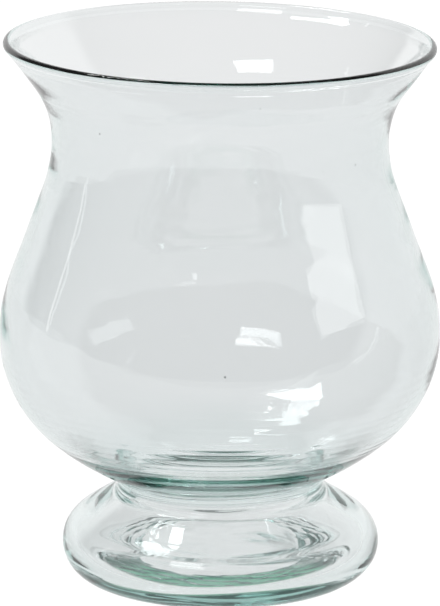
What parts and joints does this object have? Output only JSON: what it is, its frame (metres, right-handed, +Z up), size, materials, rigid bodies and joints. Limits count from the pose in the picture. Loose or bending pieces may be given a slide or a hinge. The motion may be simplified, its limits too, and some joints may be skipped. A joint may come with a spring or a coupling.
{
  "type": "hyacinth forcing vase",
  "caption": "Clear glass hyacinth forcing vase with a flared lip, a waist and a round belly over a thick open neck and a hollow bulbous foot.",
  "frame": {"origin": "centre of the foot's underside, on the surface that the vase stands on", "axes": "+Z up along the vase's axis; X and Y are any two level directions at right angles"},
  "size_m": [0.1216, 0.1216, 0.15],
  "materials": {
    "bowl_glass": "clear, fire polished",
    "foot_glass": "clear, fire polished, greener where it is thick"
  },
  "bodies": {
    "root": {"bowl": "bowl_glass", "foot": "foot_glass"}
  },
  "joints": []
}
